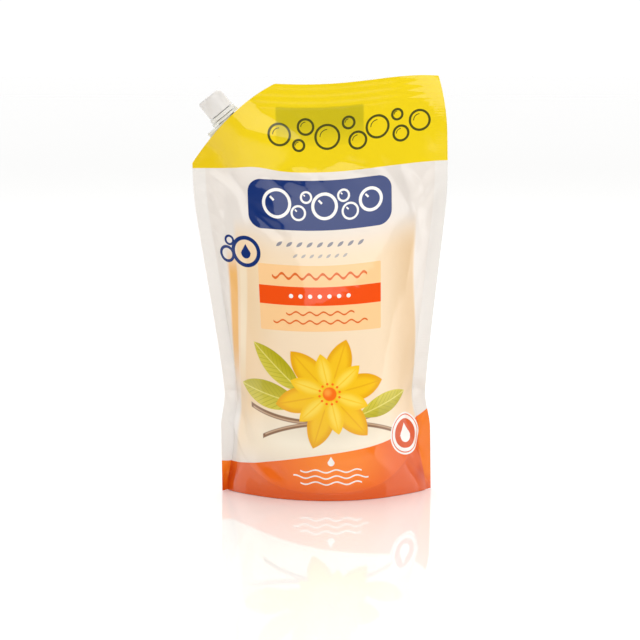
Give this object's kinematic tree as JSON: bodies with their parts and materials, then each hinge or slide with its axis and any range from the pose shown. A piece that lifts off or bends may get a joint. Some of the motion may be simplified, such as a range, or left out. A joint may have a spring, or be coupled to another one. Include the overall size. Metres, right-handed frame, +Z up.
{
  "type": "hand soap refill pack",
  "caption": "Stand-up film pouch filled with liquid hand soap, with a gusseted base, a cut top corner with a welded spout, a tamper band and a screw cap.",
  "frame": {"origin": "middle of the bounding box at the base, on the surface that the pouch stands on", "axes": "+Z up, the printed front faces -Y, the spout is at the -X side of the top"},
  "size_m": [0.16, 0.079, 0.265],
  "materials": {
    "printed_film": "glossy laminated film with a clear window zone, printed in yellow, orange and blue",
    "spout_plastic": "satin natural white moulded plastic",
    "band_plastic": "satin white moulded plastic",
    "cap_plastic": "satin white moulded plastic"
  },
  "bodies": {
    "pack": {"pouch": "printed_film", "spout": "spout_plastic"},
    "band": {"tamper_band": "band_plastic"},
    "screw_cap": {"cap": "cap_plastic"}
  },
  "joints": [
    {"name": "cap_turn", "type": "hinge", "parent": "pack", "child": "band", "pos_m": [-0.05806, 0, 0.2358], "axis": [-0.6266, 0, 0.7793], "range_deg": [0, 1080]},
    {"name": "cap_rise", "type": "slide", "parent": "band", "child": "screw_cap", "axis": [-0.6266, 0, 0.7793], "range_m": [0, 0.012]}
  ],
  "couplings": [
    {"joint": "cap_turn", "follows": "cap_rise", "rad_per_m": 1570.8}
  ]
}
